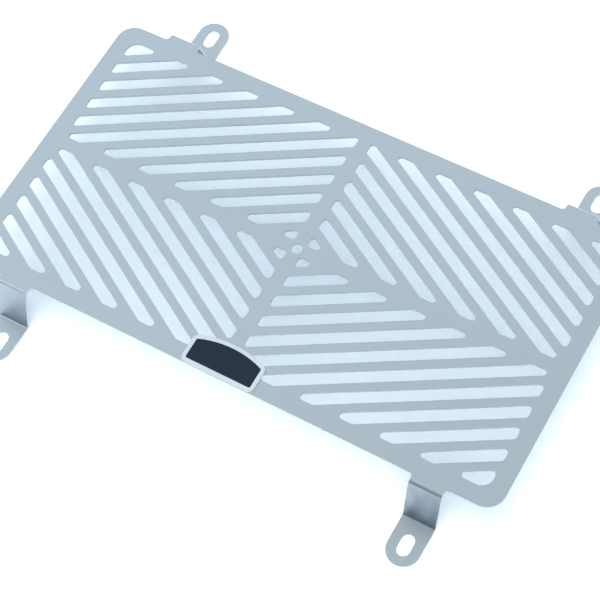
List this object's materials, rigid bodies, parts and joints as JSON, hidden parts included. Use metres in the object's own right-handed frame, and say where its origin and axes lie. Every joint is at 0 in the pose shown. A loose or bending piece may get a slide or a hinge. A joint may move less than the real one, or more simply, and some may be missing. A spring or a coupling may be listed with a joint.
{
  "type": "motorcycle radiator guard",
  "caption": "Flat stainless sheet guard with concentric rhombus slots, stepped mounting tabs with slotted feet, and a small arched badge; shields a motorcycle radiator from stones.",
  "frame": {"origin": "on the plane the four feet rest on, below the centre of the panel", "axes": "+X along the panel's long side, +Y along its short side away from the badge, +Z out of the front face"},
  "size_m": [0.34, 0.2604, 0.0299],
  "materials": {
    "guard_sheet": "satin stainless steel, laser cut and folded",
    "badge_plate": "pale satin rim with softened edge",
    "badge_inlay": "dark blue-grey gloss field, left bare"
  },
  "bodies": {
    "root": {"guard_sheet": "guard_sheet", "badge_plate": "badge_plate", "badge_inlay": "badge_inlay"}
  },
  "joints": []
}
